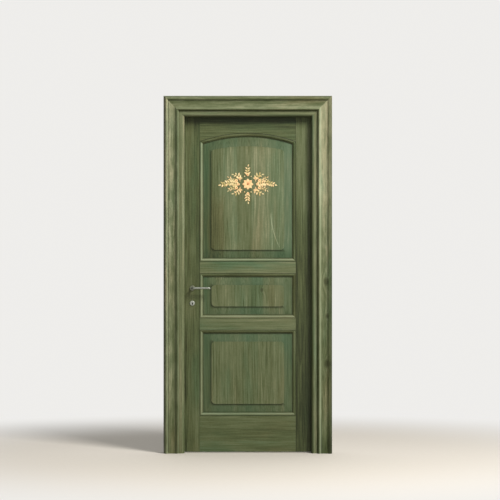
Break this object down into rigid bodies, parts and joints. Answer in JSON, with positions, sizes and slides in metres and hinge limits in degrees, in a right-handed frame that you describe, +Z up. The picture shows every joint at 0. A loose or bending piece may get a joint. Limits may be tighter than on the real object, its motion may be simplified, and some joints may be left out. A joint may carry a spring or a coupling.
{
  "type": "interior door with frame",
  "caption": "Framed interior door: rebated leaf with arched and rectangular raised panels on pin hinges, moulded casings, lever handles, latch, dead bolt and keyhole.",
  "frame": {"origin": "on the floor, midway across the opening and midway through the leaf's thickness", "axes": "+X towards the hinges, +Y through the wall towards the side the leaf opens to, +Z up"},
  "size_m": [1.048, 0.1895, 2.224],
  "materials": {
    "frame_wood": "green stained softwood, satin varnish",
    "casing_wood": "green stained softwood, satin varnish, paler on the edges",
    "leaf_wood": "green stained softwood, satin varnish",
    "panel_wood": "green stained softwood, satin varnish",
    "moulding_wood": "green stained softwood, satin varnish",
    "ornament_gilt": "painted peach and pale gold",
    "satin_nickel": "satin nickel",
    "plated_steel": "zinc plated steel",
    "rubber_seal": "dark rubber"
  },
  "bodies": {
    "frame": {"strike_jamb": "frame_wood", "hinge_jamb": "frame_wood", "head_jamb": "frame_wood", "strike_stop": "frame_wood", "hinge_stop": "frame_wood", "head_stop": "frame_wood", "frame_corner_screws": "plated_steel", "strike_gasket": "rubber_seal", "hinge_gasket": "rubber_seal", "head_gasket": "rubber_seal", "front_casing_strike": "casing_wood", "front_casing_hinge": "casing_wood", "front_casing_head": "casing_wood", "back_casing_strike": "casing_wood", "back_casing_hinge": "casing_wood", "back_casing_head": "casing_wood", "strike_plate": "plated_steel", "strike_plate_screws": "plated_steel", "bottom_hinge_frame_half": "satin_nickel", "middle_hinge_frame_half": "satin_nickel", "top_hinge_frame_half": "satin_nickel", "bottom_hinge_pin": "satin_nickel", "middle_hinge_pin": "satin_nickel", "top_hinge_pin": "satin_nickel"},
    "leaf": {"lock_stile": "leaf_wood", "hinge_stile": "leaf_wood", "top_rail": "leaf_wood", "upper_middle_rail": "leaf_wood", "lower_middle_rail": "leaf_wood", "bottom_rail": "leaf_wood", "upper_panel": "panel_wood", "middle_panel": "panel_wood", "bottom_panel": "panel_wood", "front_upper_moulding": "moulding_wood", "front_middle_moulding": "moulding_wood", "front_bottom_moulding": "moulding_wood", "back_upper_moulding": "moulding_wood", "back_middle_moulding": "moulding_wood", "back_bottom_moulding": "moulding_wood", "panel_ornament": "ornament_gilt", "lock_case": "plated_steel", "lock_cover": "plated_steel", "lock_faceplate": "plated_steel", "faceplate_screws": "plated_steel", "front_rosette": "satin_nickel", "back_rosette": "satin_nickel", "front_escutcheon": "satin_nickel", "back_escutcheon": "satin_nickel", "bottom_hinge_leaf_half": "satin_nickel", "middle_hinge_leaf_half": "satin_nickel", "top_hinge_leaf_half": "satin_nickel"},
    "lever_set": {"front_lever": "satin_nickel", "back_lever": "satin_nickel", "spindle": "plated_steel", "follower": "plated_steel", "lever_grub_screws": "plated_steel"},
    "latch": {"latch_bolt": "plated_steel"},
    "bolt": {"dead_bolt": "plated_steel"}
  },
  "joints": [
    {"name": "leaf_swing", "type": "hinge", "parent": "frame", "child": "leaf", "pos_m": [0.4285, 0.0145, 0], "axis": [0, 0, -1], "range_deg": [0, 110]},
    {"name": "lever_turn", "type": "hinge", "parent": "leaf", "child": "lever_set", "pos_m": [-0.3465, 0, 1.028], "axis": [0, 1, 0], "range_deg": [0, 40], "stiffness_Nm_per_rad": 1, "springref_deg": -34.38},
    {"name": "latch_slide", "type": "slide", "parent": "leaf", "child": "latch", "axis": [-1, 0, 0], "range_m": [0, 0.01], "stiffness_N_per_m": 150, "springref_m": -0.01},
    {"name": "bolt_slide", "type": "slide", "parent": "leaf", "child": "bolt", "axis": [-1, 0, 0], "range_m": [0, 0.014]}
  ]
}
